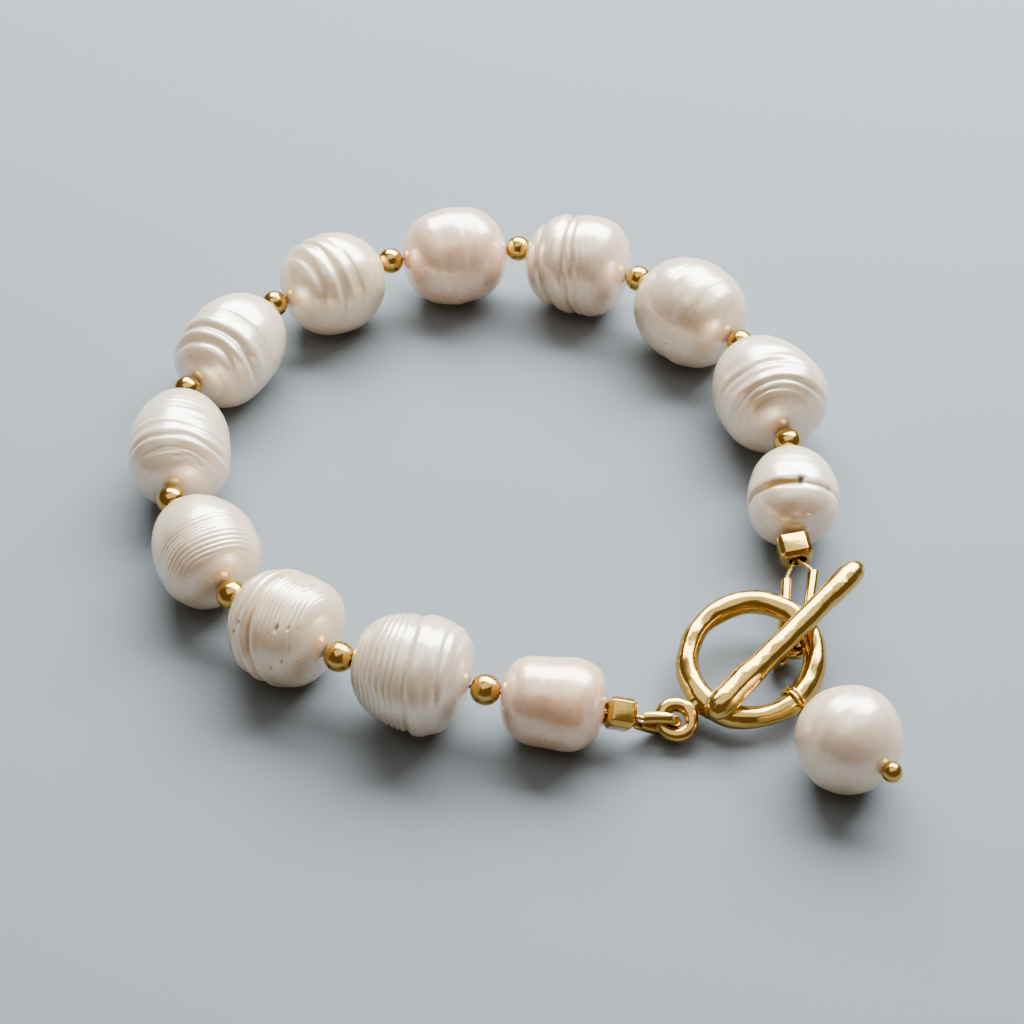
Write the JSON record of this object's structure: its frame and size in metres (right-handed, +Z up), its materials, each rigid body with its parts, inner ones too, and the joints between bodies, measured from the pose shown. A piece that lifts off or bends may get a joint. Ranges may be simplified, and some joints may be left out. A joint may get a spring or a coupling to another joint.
{
  "type": "pearl bracelet",
  "caption": "Baroque pearl bracelet strung with small gold spacers, closed by a hammered toggle ring and bar, with a pearl drop on the ring.",
  "frame": {"origin": "on the surface that the bracelet lies on, under the middle of its box", "axes": "+Z up, through the loop where the wrist goes; +Y from the clasp's drop towards the far side of the loop; +X from the loop towards the clasp's side"},
  "size_m": [0.0708, 0.076, 0.0113],
  "materials": {
    "pearl": "satin nacre with growth rings",
    "gold": "polished and hammered gold plate",
    "beading_wire": "gold-coloured stranded wire"
  },
  "bodies": {
    "root": {"pearl_01": "pearl", "pearl_02": "pearl", "pearl_03": "pearl", "pearl_04": "pearl", "pearl_05": "pearl", "pearl_06": "pearl", "pearl_07": "pearl", "pearl_08": "pearl", "pearl_09": "pearl", "pearl_10": "pearl", "pearl_11": "pearl", "pearl_12": "pearl", "drop_pearl": "pearl", "spacer_01": "gold", "spacer_02": "gold", "spacer_03": "gold", "spacer_04": "gold", "spacer_05": "gold", "spacer_06": "gold", "spacer_07": "gold", "spacer_08": "gold", "spacer_09": "gold", "spacer_10": "gold", "spacer_11": "gold", "crimp_ring_side": "gold", "crimp_bar_side": "gold", "wire_guard_ring_side": "gold", "wire_guard_bar_side": "gold", "toggle_ring": "gold", "toggle_bar": "gold", "drop_pin": "gold", "beading_wire": "beading_wire"}
  },
  "joints": []
}
